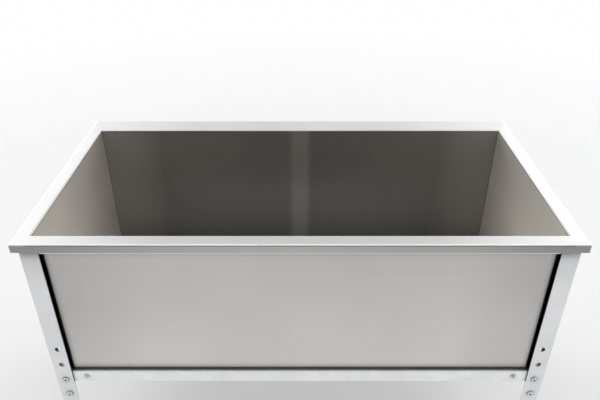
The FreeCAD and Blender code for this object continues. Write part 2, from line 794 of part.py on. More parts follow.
# ---- lift-out strainer -----------------------------------------------------------------------------------------
def strainer_basket():
    """The perforated cup, with slots up its side, holes in its floor and a rolled lip."""
    floor_radius = basket_radius - basket_taper - basket_lip
    path = [(0, basket_floor), (floor_radius, basket_floor),
            (basket_radius - basket_lip, basket_top), (basket_radius, basket_top)]
    path.reverse()
    section = folded_section(path, basket_sheet, basket_bend,
                             lambda u, v: Vector(waste_x + u, waste_y, v))
    middle = Vector(waste_x, waste_y, basket_floor)
    cup = section.revolve(middle, up, 360)
    slot_low = basket_floor + (basket_height - slot_length) / 2
    slot_high = slot_low + slot_length
    low_y = waste_y - slot_width / 2
    high_y = waste_y + slot_width / 2
    slot = outline([(low_y, slot_low), (high_y, slot_low), (high_y, slot_high),
                    (low_y, slot_high)], slot_width / 2, yz(waste_x))
    slot = slot.extrude(Vector(basket_radius + cut_margin, 0, 0))
    cup = cup.cut(around(slot, slot_count, middle))
    hole_circle = stopper_radius + floor_hole_gap + floor_hole_radius
    hole = drill(floor_hole_radius, middle + Vector(hole_circle, 0, 0), basket_sheet, up)
    cup = cup.cut(around(hole, floor_hole_count, middle))
    return cup.cut(drill(post_radius, middle, basket_sheet, up))


def strainer_stopper():
    """The rubber disc under the basket that closes the outlet."""
    points = [(0, cup_floor), (stopper_radius, cup_floor),
              (stopper_radius, cup_floor + stopper_height), (0, cup_floor + stopper_height)]
    return turned(points, [0, stopper_foot, stopper_edge, 0], waste_x, waste_y)


def strainer_post():
    """The post up the middle of the basket, with its knob."""
    top = basket_top + knob_rise
    knob_low = top - knob_height
    points = [(0, basket_floor), (post_radius, basket_floor), (post_radius, knob_low),
              (knob_radius, knob_low + knob_flare), (knob_radius, top - knob_crown), (0, top)]
    return turned(points, [0, 0, knob_edge, knob_edge, knob_edge, 0], waste_x, waste_y)


# ---- writing --------------------------------------------------------------------------------------------------------
def all_parts():
    """Every sub-part by name."""
    parts = {"tub_shell": tub_shell()}
    for side, shape in left_and_right(end_panel()).items():
        parts[f"end_panel_{side}"] = shape
    for name, make in (("bottom_rail", bottom_rail_long), ("top_rail", top_rail_long)):
        for depth, shape in front_and_back(make()).items():
            parts[f"{name}_{depth}"] = shape
    for name, make in (("bottom_rail", bottom_rail_side), ("top_rail", top_rail_side)):
        for side, shape in left_and_right(make()).items():
            parts[f"{name}_{side}"] = shape
    for name, make in (("leg", leg), ("corner_bracket", corner_bracket),
                       ("foot_bracket", foot_bracket), ("foot_stem", foot_stem),
                       ("foot_pad", foot_pad)):
        for corner, shape in four_corners(make()).items():
            parts[f"{name}_{corner}"] = shape
    parts["foot_lock_nuts"] = group(four_corners(lock_nut()).values())
    parts.update(fasteners())
    parts["waste_cup"] = waste_cup()
    parts["waste_gasket"] = waste_ring(flange_radius, waste_hole_radius, recess_floor,
                                       gasket_height)
    parts["waste_rubber_washer"] = waste_ring(back_nut_radius, cup_radius + waste_fit,
                                              recess_underside - rubber_height, rubber_height)
    parts["waste_friction_ring"] = waste_ring(back_nut_radius, cup_radius + waste_fit,
                                              nut_top, ring_height)
    parts["waste_back_nut"] = back_nut()
    parts["tailpiece"] = tailpiece()
    parts["tailpiece_washer"] = waste_ring(tail_flange_radius, outlet_radius, tail_top,
                                           tail_washer_height)
    parts["coupling_nut"] = coupling_nut()
    parts["strainer_basket"] = strainer_basket()
    parts["strainer_stopper"] = strainer_stopper()
    parts["strainer_post"] = strainer_post()
    return parts


def main():
    """Builds every sub-part and writes it out."""
    os.makedirs("parts", exist_ok=True)
    for name, shape in all_parts().items():
        shape.exportStep(f"parts/{name}.step")
        print(f"{name}: {len(shape.Solids)} solids, {shape.Volume / 1000:.1f} cm3,"
              f" valid {shape.isValid()}")


main()
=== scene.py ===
"""Looks of a deep single-bowl utility sink: brushed steel, galvanised frame, feet and waste.

Metres, +Z up, the apron faces -Y, and the floor is at z = 0.
"""

import logging
import math
from dataclasses import dataclass, field
from enum import Enum
from typing import Any

import bpy
import numpy as np
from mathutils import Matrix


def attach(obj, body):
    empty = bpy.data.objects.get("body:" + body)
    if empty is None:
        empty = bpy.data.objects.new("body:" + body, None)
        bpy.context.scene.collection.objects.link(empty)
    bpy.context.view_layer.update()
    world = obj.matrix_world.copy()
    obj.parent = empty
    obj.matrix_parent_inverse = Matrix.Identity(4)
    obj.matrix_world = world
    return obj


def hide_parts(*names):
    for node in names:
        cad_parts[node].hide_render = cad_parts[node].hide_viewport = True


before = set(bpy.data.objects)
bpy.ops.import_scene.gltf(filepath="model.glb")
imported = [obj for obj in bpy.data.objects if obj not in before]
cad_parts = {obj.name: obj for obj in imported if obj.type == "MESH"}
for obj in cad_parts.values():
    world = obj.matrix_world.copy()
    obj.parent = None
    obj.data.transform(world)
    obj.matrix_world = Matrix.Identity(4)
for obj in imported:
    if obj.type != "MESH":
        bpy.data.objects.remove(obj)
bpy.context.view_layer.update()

MM = 0.001

logging.basicConfig(level=logging.INFO, format="%(message)s")
log = logging.getLogger("sink")


# ---- node trees ---------------------------------------------------------------------------
class Sketch:
    """A node tree with short calls that add nodes and join their sockets."""

    def __init__(self, tree: bpy.types.NodeTree) -> None:
        """Keeps the tree that the calls write to."""
        self.tree = tree

    def add(self, kind: str, inputs: dict[Any, Any] | None = None, **options: Any) -> bpy.types.Node:
        """Adds one node.

        Args:
            kind: the node's type without its ShaderNode prefix.
            inputs: a value or a socket for each named or numbered input.
            options: the node's own settings.

        Returns:
            The new node.
        """
        node = self.tree.nodes.new("ShaderNode" + kind)
        for name, value in options.items():
            setattr(node, name, value)
        for key, value in (inputs or {}).items():
            if isinstance(value, bpy.types.NodeSocket):
                self.tree.links.new(value, node.inputs[key])
            else:
                node.inputs[key].default_value = value
        return node

    def maths(self, operation: str, *values: Any) -> bpy.types.NodeSocket:
        """One Math node's result for values or sockets."""
        return self.add("Math", dict(enumerate(values)), operation=operation).outputs[0]

    def scaled(self, vector: bpy.types.NodeSocket, scale: tuple[float, float, float]) -> bpy.types.NodeSocket:
        """A vector with each of its axes multiplied by a number."""
        return self.add("Mapping", {"Vector": vector, "Scale": scale}).outputs[0]

    def noise(self, vector: bpy.types.NodeSocket, scale: float, detail: float = 2.0) -> bpy.types.NodeSocket:
        """Soft random values about 0.5, in cells of 1 / scale metres."""
        return self.add("TexNoise", {"Vector": vector, "Scale": scale, "Detail": detail}).outputs[0]

    def ranged(self, value: bpy.types.NodeSocket, low: float, high: float,
               new_low: float, new_high: float) -> bpy.types.NodeSocket:
        """A value moved from one range to another, and held inside it."""
        return self.add("MapRange", {0: value, 1: low, 2: high, 3: new_low, 4: new_high}).outputs[0]

    def mixed(self, share: bpy.types.NodeSocket, low: Any, high: Any) -> bpy.types.NodeSocket:
        """A mix of two colours, which is the second where the share is 1."""
        ends = [(*end[:3], 1.0) if isinstance(end, tuple) else end for end in (low, high)]
        return self.add("Mix", {0: share, 6: ends[0], 7: ends[1]}, data_type="RGBA").outputs[2]

    def blended(self, share: bpy.types.NodeSocket, low: Any, high: Any) -> bpy.types.NodeSocket:
        """A mix of two values, which is the second where the share is 1."""
        return self.add("Mix", {0: share, 2: low, 3: high}).outputs[0]

    def shaded(self, colour: Any, *shades: Any) -> bpy.types.NodeSocket:
        """A colour multiplied by grey values. A colour on its own stays as it is."""
        result: Any = (*colour, 1.0) if isinstance(colour, tuple) else colour
        for shade in shades:
            mix = self.add("Mix", {0: 1.0, 6: result, 7: shade}, data_type="RGBA", blend_type="MULTIPLY")
            result = mix.outputs[2]
        return result


class Grain(Enum):
    """The way a panel's grain runs."""

    WIDTH = (1.0, 0.0, 0.0)
    DEPTH = (0.0, 1.0, 0.0)
    UPRIGHT = (0.0, 0.0, 1.0)


class Effect(Enum):
    """The effects that several finishes share, each built once as a node group."""

    BRUSHED = "brushed_grain"
    SPANGLE = "zinc_spangle"
    HANDLING = "handling_marks"
    MOULDED = "moulded_skin"
    CREVICE = "crevice_shade"


def effect_group(effect: Effect) -> bpy.types.NodeTree:
    """Finds an effect's node group, and builds it the first time.

    Args:
        effect: the effect wanted.

    Returns:
        The node group.
    """
    found = bpy.data.node_groups.get(effect.value)
    if found is not None:
        return found
    tree = bpy.data.node_groups.new(effect.value, "ShaderNodeTree")
    builders = {Effect.BRUSHED: build_brushed, Effect.SPANGLE: build_spangle,
                Effect.HANDLING: build_handling, Effect.MOULDED: build_moulded,
                Effect.CREVICE: build_crevice}
    builders[effect](tree)
    return tree


def group_ends(tree: bpy.types.NodeTree, inputs: dict[str, float | None],
               outputs: list[str]) -> tuple[Sketch, bpy.types.Node, bpy.types.Node]:
    """Gives a node group its named sockets.

    Args:
        tree: the group.
        inputs: each input's default value, or None for a vector.
        outputs: the names of the outputs.

    Returns:
        The sketch of the group, its input node and its output node.
    """
    for name, value in inputs.items():
        kind = "NodeSocketVector" if value is None else "NodeSocketFloat"
        socket = tree.interface.new_socket(name, in_out="INPUT", socket_type=kind)
        if value is not None:
            socket.default_value = value
    for name in outputs:
        tree.interface.new_socket(name, in_out="OUTPUT", socket_type="NodeSocketFloat")
    return Sketch(tree), tree.nodes.new("NodeGroupInput"), tree.nodes.new("NodeGroupOutput")


def build_brushed(tree: bpy.types.NodeTree) -> None:
    """Brushed metal: fine scratches over broad faint bands, from coordinates stretched along the grain.

    Args:
        tree: the group to fill.
    """
    sketch, given, result = group_ends(tree, {"Vector": None, "Contrast": 0.1}, ["Shade", "Height"])
    fine = sketch.noise(given.outputs["Vector"], 900.0, 2.0)
    broad = sketch.noise(given.outputs["Vector"], 150.0, 3.0)
    mixed = sketch.maths("ADD", sketch.maths("MULTIPLY", fine, 0.4), sketch.maths("MULTIPLY", broad, 0.6))
    centred = sketch.maths("MULTIPLY", sketch.maths("SUBTRACT", mixed, 0.5), given.outputs["Contrast"])
    tree.links.new(sketch.maths("ADD", centred, 1.0), result.inputs["Shade"])
    tree.links.new(fine, result.inputs["Height"])


def build_spangle(tree: bpy.types.NodeTree) -> None:
    """Galvanising: crystals that differ a little in shade, with frosted streaks between them.

    Args:
        tree: the group to fill.
    """
    sketch, given, result = group_ends(tree, {"Vector": None, "Crystals": 120.0, "Contrast": 0.1},
                                       ["Shade", "Height"])
    warp = sketch.noise(given.outputs["Vector"], 60.0, 2.0)
    moved = sketch.add("VectorMath", {0: given.outputs["Vector"], 1: warp}, operation="ADD")
    cells = sketch.add("TexVoronoi", {"Vector": moved.outputs[0], "Scale": given.outputs["Crystals"]})
    grey = sketch.add("RGBToBW", {0: cells.outputs["Color"]}).outputs[0]
    frost = sketch.noise(given.outputs["Vector"], 25.0, 5.0)
    mixed = sketch.maths("ADD", sketch.maths("MULTIPLY", grey, 0.6), sketch.maths("MULTIPLY", frost, 0.4))
    centred = sketch.maths("MULTIPLY", sketch.maths("SUBTRACT", mixed, 0.5), given.outputs["Contrast"])
    tree.links.new(sketch.maths("ADD", centred, 1.0), result.inputs["Shade"])
    tree.links.new(sketch.maths("ADD", grey, frost), result.inputs["Height"])


def build_handling(tree: bpy.types.NodeTree) -> None:
    """Handling marks: broad cloudy patches where metal was wiped and touched, from 0 to 1.

    Args:
        tree: the group to fill.
    """
    sketch, given, result = group_ends(tree, {"Vector": None, "Size": 0.2}, ["Mask"])
    scale = sketch.maths("DIVIDE", 1.0, given.outputs["Size"])
    cloud = sketch.add("TexNoise", {"Vector": given.outputs["Vector"], "Scale": scale, "Detail": 4.0})
    tree.links.new(sketch.ranged(cloud.outputs[0], 0.35, 0.7, 0.0, 1.0), result.inputs["Mask"])


def build_moulded(tree: bpy.types.NodeTree) -> None:
    """Moulded plastic or rubber: a fine pebbled skin with faint dust.

    Args:
        tree: the group to fill.
    """
    sketch, given, result = group_ends(tree, {"Vector": None, "Pebbles": 1500.0}, ["Shade", "Height"])
    pebble = sketch.add("TexNoise", {"Vector": given.outputs["Vector"], "Scale": given.outputs["Pebbles"]})
    dust = sketch.noise(given.outputs["Vector"], 45.0, 4.0)
    tree.links.new(sketch.ranged(dust, 0.4, 0.8, 1.0, 1.5), result.inputs["Shade"])
    tree.links.new(pebble.outputs[0], result.inputs["Height"])


def build_crevice(tree: bpy.types.NodeTree) -> None:
    """Painted shade in narrow gaps: the open share of the sky within reach of a point, raised to a power.

    Args:
        tree: the group to fill.
    """
    sketch, given, result = group_ends(tree, {"Reach": 0.02, "Power": 1.0}, ["Shade"])
    open_sky = sketch.add("AmbientOcclusion", {"Distance": given.outputs["Reach"]}, samples=6)
    shade = sketch.maths("POWER", open_sky.outputs["AO"], given.outputs["Power"])
    tree.links.new(shade, result.inputs["Shade"])


# ---- finishes -----------------------------------------------------------------------------
@dataclass(frozen=True)
class Finish:
    """What every finish holds: its name, its record slot and its plain colour."""

    name: str
    slot: str
    colour: tuple[float, float, float]
    roughness: float

    def material(self) -> bpy.types.Material:
        """Finds this finish's material, and builds it the first time.

        Returns:
            The material.
        """
        found = bpy.data.materials.get(self.name)
        if found is not None:
            return found
        made = bpy.data.materials.new(self.name)
        made.use_nodes = True
        made.diffuse_color = (*self.colour, 1.0)
        made.roughness = self.roughness
        sketch = Sketch(made.node_tree)
        place = sketch.add("TexCoord").outputs["Object"]
        self.paint(sketch, made.node_tree.nodes["Principled BSDF"], place)
        return made

    def paint(self, sketch: Sketch, shader: bpy.types.Node, place: bpy.types.NodeSocket) -> None:
        """Joins this finish's pattern to the shader. Each finish has its own."""
        raise NotImplementedError

    def bump(self, sketch: Sketch, shader: bpy.types.Node, height: bpy.types.NodeSocket,
             depth: float) -> None:
        """Turns a height pattern into a bump of a depth in metres."""
        node = sketch.add("Bump", {"Height": height, "Distance": depth, "Strength": 1.0})
        sketch.tree.links.new(node.outputs[0], shader.inputs["Normal"])

    def effect(self, sketch: Sketch, kind: Effect, vector: bpy.types.NodeSocket | None,
               **values: float) -> bpy.types.Node:
        """Places a shared effect.

        Args:
            sketch: the material's sketch.
            kind: which effect.
            vector: the coordinates that it follows, if it has any.
            values: its other inputs, by name in lower case.

        Returns:
            The group node.
        """
        node = sketch.tree.nodes.new("ShaderNodeGroup")
        node.node_tree = effect_group(kind)
        if vector is not None:
            sketch.tree.links.new(vector, node.inputs["Vector"])
        for key, value in values.items():
            node.inputs[key.title()].default_value = value
        return node


class Axis(Enum):
    """The ways that painted light and shade change: away from the sink's middle, to its back, or up."""

    ASIDE = 0
    BACK = 1
    UP = 2


@dataclass(frozen=True)
class Fall:
    """An even change of painted light and shade along an axis, between a low and a high place in metres."""

    axis: Axis
    low: float
    high: float
    low_shade: float
    high_shade: float

    def shade(self, sketch: Sketch, place: tuple[bpy.types.NodeSocket, ...]) -> bpy.types.NodeSocket:
        """The painted light and shade at a place.

        Args:
            sketch: the material's sketch.
            place: the distance from the middle, and the y and z of a point.

        Returns:
            The shade.
        """
        return sketch.ranged(place[self.axis.value], self.low, self.high, self.low_shade, self.high_shade)


@dataclass(frozen=True)
class TubPlaces:
    """Where the tub's faces lie, in metres, and how far apart two faces can be told."""

    rim: float = 0.8492
    rim_edge: float = 0.0008
    apron: float = -0.313
    front_wall: float = -0.279
    back_wall: float = 0.245
    outer_back: float = 0.2462
    bowl_half: float = 0.567
    sheet_end: float = 0.568
    near: float = 0.0005


@dataclass(frozen=True)
class Spot:
    """A point of the tub in a material: its place, and its shares of the rim and of the front."""

    place: tuple[bpy.types.NodeSocket, ...]
    rim: bpy.types.NodeSocket
    lower: bpy.types.NodeSocket
    front: bpy.types.NodeSocket


@dataclass(frozen=True)
class BrushedSteel(Finish):
    """Stainless sheet brushed in one direction, with painted light, shade, reflections and a highlight on the
    tub's faces and folds.
    """

    grain: Grain = Grain.WIDTH
    anisotropy: float = 0.8
    contrast: float = 0.10
    stretch: float = 0.012
    marks_size: float = 0.25
    marks_depth: float = 1.12
    tub: TubPlaces = TubPlaces()
    rim_colour: tuple[float, float, float] = (0.74, 0.74, 0.74)
    rim_roughness: float = 0.42
    # Painted shade: the rim darker towards its middle and paler towards its ends.
    painted_rim_fall: Fall = Fall(Axis.ASIDE, 0.30, 0.567, 0.765, 1.0)
    front_roughness: float = 0.30
    # Painted light and shade on the front wall: lighter towards its bottom, darker towards its top and its
    # ends.
    painted_front_falls: tuple[Fall, ...] = (Fall(Axis.UP, 0.46, 0.82, 1.17, 0.93),
                                     Fall(Axis.ASIDE, 0.36, 0.54, 1.0, 0.86))
    # Painted shade: the apron darker towards its ends.
    painted_apron_fall: Fall = Fall(Axis.ASIDE, 0.0, 0.567, 0.89, 0.65)
    # Painted light and shade on the walls inside the bowl.
    painted_inner_falls: tuple[Fall, ...] = ()
    # A painted highlight along the fold between the front rim and the apron.
    fold_width: float = 0.0035
    fold_height: float = 0.0014
    fold_highlight_colour: tuple[float, float, float] = (0.97, 0.97, 0.97)
    # Painted shade: a thin dark band along the top of the walls and the apron, under the rim's folds.
    seam_height: float = 0.0035
    seam_painted_shade: float = 0.45
    # A painted reflection: a paler streak down the middle of the back wall.
    reflection_streak: Fall = Fall(Axis.ASIDE, 0.017, 0.034, 1.45, 1.0)
    # Painted shade on the tub's outer back, below the rim.
    painted_back_shade: float = 0.6
    # Painted shade: dark in narrow gaps on the front, and darker deeper in the bowl.
    gap_reach: float = 0.02
    gap_power: float = 1.5
    deep_reach: float = 0.35
    deep_power: float = 0.0

    def paint(self, sketch: Sketch, shader: bpy.types.Node, place: bpy.types.NodeSocket) -> None:
        """Long scratches along the grain and soft handling marks, over the painted light and shade of each
        face.

        Args:
            sketch: the material's sketch.
            shader: its Principled shader.
            place: the object's own coordinates.
        """
        along = tuple(self.stretch if way else 1.0 for way in self.grain.value)
        brushed = self.effect(sketch, Effect.BRUSHED, sketch.scaled(place, along), contrast=self.contrast)
        marks = self.effect(sketch, Effect.HANDLING, place, size=self.marks_size)
        shader.inputs["Metallic"].default_value = 1.0
        shader.inputs["Anisotropic"].default_value = self.anisotropy
        scratches = brushed.outputs["Shade"]
        spot = self.spot(sketch, place)
        # The rim's colour with its painted shade.
        rim_colour = sketch.shaded(self.rim_colour, self.painted_rim_fall.shade(sketch, spot.place))
        colour = sketch.mixed(spot.rim, self.wall_colour(sketch, spot), rim_colour)
        # Scratches, then painted shade in the gaps, in the bowl's depth and towards the apron's ends.
        colour = sketch.shaded(colour, scratches, *self.painted_hollow_shades(sketch, spot), self.painted_apron_shade(sketch, spot))
        # A painted highlight on the front fold.
        colour = sketch.mixed(self.fold(sketch, spot), colour, self.fold_highlight_colour)
        sketch.tree.links.new(colour, shader.inputs["Base Color"])
        rough = sketch.blended(spot.front, self.roughness, self.front_roughness)
        rough = sketch.blended(spot.rim, rough, self.rim_roughness)
        wiped = sketch.ranged(marks.outputs["Mask"], 0.0, 1.0, 1.0, self.marks_depth)
        rough = sketch.maths("MULTIPLY", sketch.maths("MULTIPLY", rough, wiped), scratches)
        sketch.tree.links.new(rough, shader.inputs["Roughness"])
        way = sketch.add("Mix", {0: spot.front, 4: self.grain.value, 5: Grain.UPRIGHT.value},
                         data_type="VECTOR")
        sketch.tree.links.new(way.outputs[1], shader.inputs["Tangent"])

    def spot(self, sketch: Sketch, place: bpy.types.NodeSocket) -> Spot:
        """Works out where on the tub a point is.

        Args:
            sketch: the material's sketch.
            place: the object's own coordinates.

        Returns:
            The point's place and shares.
        """
        x, y, z = sketch.add("SeparateXYZ", {0: place}).outputs
        rim = sketch.ranged(z, self.tub.rim - self.tub.rim_edge, self.tub.rim, 0.0, 1.0)
        lower = sketch.maths("SUBTRACT", 1.0, rim)
        front = sketch.maths("MULTIPLY", sketch.maths("LESS_THAN", y, self.tub.front_wall), lower)
        return Spot((sketch.maths("ABSOLUTE", x), y, z), rim, lower, front)

    def wall_colour(self, sketch: Sketch, spot: Spot) -> bpy.types.NodeSocket:
        """The colour below the rim: painted light and shade on the inner and front walls, a painted
        reflection streak, painted shade along the seams and on the outer back.

        Args:
            sketch: the material's sketch.
            spot: the point.

        Returns:
            The colour.
        """
        aside, y, z = spot.place
        sides = [sketch.shaded(self.colour, *[fall.shade(sketch, spot.place) for fall in painted_falls])
                 for painted_falls in (self.painted_inner_falls, self.painted_front_falls)]
        colour = sketch.mixed(spot.front, *sides)
        # Painted reflection: a paler streak down the middle of the back wall's inside.
        wall = sketch.maths("COMPARE", y, self.tub.back_wall, self.tub.near)
        reflection_streaked = sketch.shaded(colour, self.reflection_streak.shade(sketch, spot.place))
        colour = sketch.mixed(wall, colour, reflection_streaked)
        # Painted shade along the top of the walls and the apron.
        edge = sketch.maths("GREATER_THAN", z, self.tub.rim - self.seam_height)
        seam = sketch.maths("MULTIPLY", edge, sketch.maths("LESS_THAN", aside, self.tub.sheet_end))
        colour = sketch.shaded(colour, sketch.ranged(seam, 0.0, 1.0, 1.0, self.seam_painted_shade))
        # Painted shade on the outer back.
        behind = sketch.maths("MULTIPLY", sketch.maths("GREATER_THAN", y, self.tub.outer_back), spot.lower)
        return sketch.shaded(colour, sketch.ranged(behind, 0.0, 1.0, 1.0, self.painted_back_shade))

    def painted_hollow_shades(self, sketch: Sketch, spot: Spot) -> tuple[bpy.types.NodeSocket, bpy.types.NodeSocket]:
        """Painted shade in the narrow gaps at the front, and painted shade that grows with the depth of the
        bowl.

        Args:
            sketch: the material's sketch.
            spot: the point.

        Returns:
            The two shades.
        """
        gap = self.effect(sketch, Effect.CREVICE, None, reach=self.gap_reach, power=self.gap_power)
        deep = self.effect(sketch, Effect.CREVICE, None, reach=self.deep_reach, power=self.deep_power)
        inside = sketch.maths("SUBTRACT", 1.0, spot.front)
        outside = sketch.maths("MAXIMUM", spot.front, spot.rim)
        return (sketch.maths("MAXIMUM", gap.outputs["Shade"], inside),
                sketch.maths("MAXIMUM", deep.outputs["Shade"], outside))

    def painted_apron_shade(self, sketch: Sketch, spot: Spot) -> bpy.types.NodeSocket:
        """The apron's painted shade, which darkens towards its ends, and 1 on every other face.

        Args:
            sketch: the material's sketch.
            spot: the point.

        Returns:
            The shade.
        """
        past = sketch.maths("GREATER_THAN", spot.place[1], self.tub.apron + self.tub.near)
        elsewhere = sketch.maths("MAXIMUM", past, spot.rim)
        return sketch.blended(elsewhere, self.painted_apron_fall.shade(sketch, spot.place), 1.0)

    def fold(self, sketch: Sketch, spot: Spot) -> bpy.types.NodeSocket:
        """1 on the painted highlight along the fold between the front rim and the apron, and 0 elsewhere.

        Args:
            sketch: the material's sketch.
            spot: the point.

        Returns:
            The mask.
        """
        ahead = sketch.maths("LESS_THAN", spot.place[1], self.tub.apron + self.fold_width)
        above = sketch.maths("GREATER_THAN", spot.place[2], self.tub.rim - self.fold_height)
        return sketch.maths("MULTIPLY", ahead, above)


@dataclass(frozen=True)
class Galvanised(Finish):
    """Folded angle, zinc coated before it was folded."""

    crystals: float = 140.0
    contrast: float = 0.22
    metallic: float = 0.85
    # Painted shade in narrow gaps.
    gap_reach: float = 0.05
    gap_power: float = 5.0
    depth: float = 0.00006
    marks_size: float = 0.12
    marks_shade: float = 0.94
    # Painted shade: darker towards the tops under the apron, and on the frame's back.
    painted_falls: tuple[Fall, ...] = (Fall(Axis.UP, 0.70, 0.83, 1.0, 0.80),
                               Fall(Axis.BACK, 0.250, 0.252, 1.0, 0.6))

    def paint(self, sketch: Sketch, shader: bpy.types.Node, place: bpy.types.NodeSocket) -> None:
        """Small spangles, and patches that handling has dulled, under painted shade in gaps, at the tops and
        at the back.

        Args:
            sketch: the material's sketch.
            shader: its Principled shader.
            place: the object's own coordinates.
        """
        spangle = self.effect(sketch, Effect.SPANGLE, place, crystals=self.crystals, contrast=self.contrast)
        marks = self.effect(sketch, Effect.HANDLING, place, size=self.marks_size)
        dull = sketch.ranged(marks.outputs["Mask"], 0.0, 1.0, 1.0, self.marks_shade)
        shader.inputs["Metallic"].default_value = self.metallic
        # Painted shade in gaps, at the tops and at the back.
        gap = self.effect(sketch, Effect.CREVICE, None, reach=self.gap_reach, power=self.gap_power)
        axes = tuple(sketch.add("SeparateXYZ", {0: place}).outputs)
        painted_falls = [fall.shade(sketch, axes) for fall in self.painted_falls]
        colour = sketch.shaded(self.colour, spangle.outputs["Shade"], dull, gap.outputs["Shade"], *painted_falls)
        sketch.tree.links.new(colour, shader.inputs["Base Color"])
        rough = sketch.maths("MULTIPLY", spangle.outputs["Shade"], self.roughness)
        sketch.tree.links.new(rough, shader.inputs["Roughness"])
        self.bump(sketch, shader, spangle.outputs["Height"], self.depth)


@dataclass(frozen=True)
class PlatedSteel(Finish):
    """Plated fasteners and tubes: zinc or chrome, with handling marks and painted shade in narrow gaps."""

    contrast: float = 0.12
    marks_size: float = 0.02
    marks_depth: float = 1.4
    # Painted shade in the narrow gaps round a piece.
    gap_reach: float = 0.006
    gap_power: float = 1.0

    def paint(self, sketch: Sketch, shader: bpy.types.Node, place: bpy.types.NodeSocket) -> None:
        """Fine turning grain, patches of duller plate, and painted shade in narrow gaps.

        Args:
            sketch: the material's sketch.
            shader: its Principled shader.
            place: the object's own coordinates.
        """
        turned = self.effect(sketch, Effect.BRUSHED, place, contrast=self.contrast)
        marks = self.effect(sketch, Effect.HANDLING, place, size=self.marks_size)
        shader.inputs["Metallic"].default_value = 1.0
        # Painted shade in narrow gaps, such as the ring round a bolt head.
        gap = self.effect(sketch, Effect.CREVICE, None, reach=self.gap_reach, power=self.gap_power)
        colour = sketch.shaded(self.colour, turned.outputs["Shade"], gap.outputs["Shade"])
        sketch.tree.links.new(colour, shader.inputs["Base Color"])
        rough = sketch.ranged(marks.outputs["Mask"], 0.0, 1.0, self.roughness,
                              self.roughness * self.marks_depth)
        sketch.tree.links.new(rough, shader.inputs["Roughness"])


@dataclass(frozen=True)
class Moulded(Finish):
    """Plastic, rubber and pressed card."""

    pebbles: float = 1500.0
    depth: float = 0.00005
    pebble_roughness: float = 1.15

    def paint(self, sketch: Sketch, shader: bpy.types.Node, place: bpy.types.NodeSocket) -> None:
        """A pebbled skin with faint dust.

        Args:
            sketch: the material's sketch.
            shader: its Principled shader.
            place: the object's own coordinates.
        """
        skin = self.effect(sketch, Effect.MOULDED, place, pebbles=self.pebbles)
        sketch.tree.links.new(sketch.shaded(self.colour, skin.outputs["Shade"]), shader.inputs["Base Color"])
        rough = sketch.ranged(skin.outputs["Height"], 0.3, 0.7, self.roughness,
                              self.roughness * self.pebble_roughness)
        sketch.tree.links.new(rough, shader.inputs["Roughness"])
        self.bump(sketch, shader, skin.outputs["Height"], self.depth)


STEEL = (0.650, 0.635, 0.618)
# Painted light and shade inside the bowl: the shell paler towards the bowl's ends and darker deeper in the
# bowl, the end panels lighter towards the front and towards the bottom.
SHELL_STEEL = BrushedSteel("shell_steel", "stainless", STEEL, 0.42, Grain.WIDTH, anisotropy=1.0,
                           deep_power=0.65, painted_inner_falls=(Fall(Axis.ASIDE, 0.40, 0.56, 0.95, 1.75),))
END_STEEL = BrushedSteel("end_panel_steel", "stainless", (0.675, 0.640, 0.590), 0.60, Grain.DEPTH,
                         anisotropy=0.4, painted_inner_falls=(Fall(Axis.BACK, -0.25, 0.22, 1.14, 0.68),
                                                      Fall(Axis.UP, 0.70, 0.85, 1.45, 0.96)))
CUP_STEEL = PlatedSteel("pressed_cup_steel", "stainless", (0.66, 0.65, 0.63), 0.22)
# gap_reach and gap_power set the painted shade in narrow gaps; the top rail has none.
GALVANISED = Galvanised("galvanised_angle", "galvanised", (0.82, 0.835, 0.85), 0.50)
BOTTOM_RAIL = Galvanised("galvanised_bottom_rail", "galvanised", (0.88, 0.895, 0.91), 0.50, crystals=260.0,
                         contrast=0.5, gap_reach=0.014, gap_power=2.5)
TOP_RAIL = Galvanised("galvanised_top_rail", "galvanised", (0.88, 0.895, 0.91), 0.50, gap_power=0.0)
# Painted shade: a dark ring round the bolt heads.
ZINC = PlatedSteel("zinc_fasteners", "zinc_fastener", (0.82, 0.83, 0.84), 0.50, gap_power=3.0)
CHROME = PlatedSteel("chrome_tube", "chromed", (0.80, 0.81, 0.82), 0.07)
GREY_NUT = Moulded("grey_nut_plastic", "grey_plastic", (0.16, 0.16, 0.17), 0.45)
BLACK_PAD = Moulded("black_pad_plastic", "black_plastic", (0.03, 0.03, 0.032), 0.50)
RUBBER = Moulded("black_rubber", "black_rubber", (0.02, 0.02, 0.02), 0.70, pebbles=900.0)
WELD = PlatedSteel("weld_steel", "stainless", (0.50, 0.48, 0.46), 0.35)
GREY_WELD = PlatedSteel("painted_weld", "galvanised", (0.50, 0.51, 0.52), 0.50)
FIBRE = Moulded("fibre_card", "fibre", (0.45, 0.36, 0.26), 0.80, pebbles=600.0, depth=0.0001)


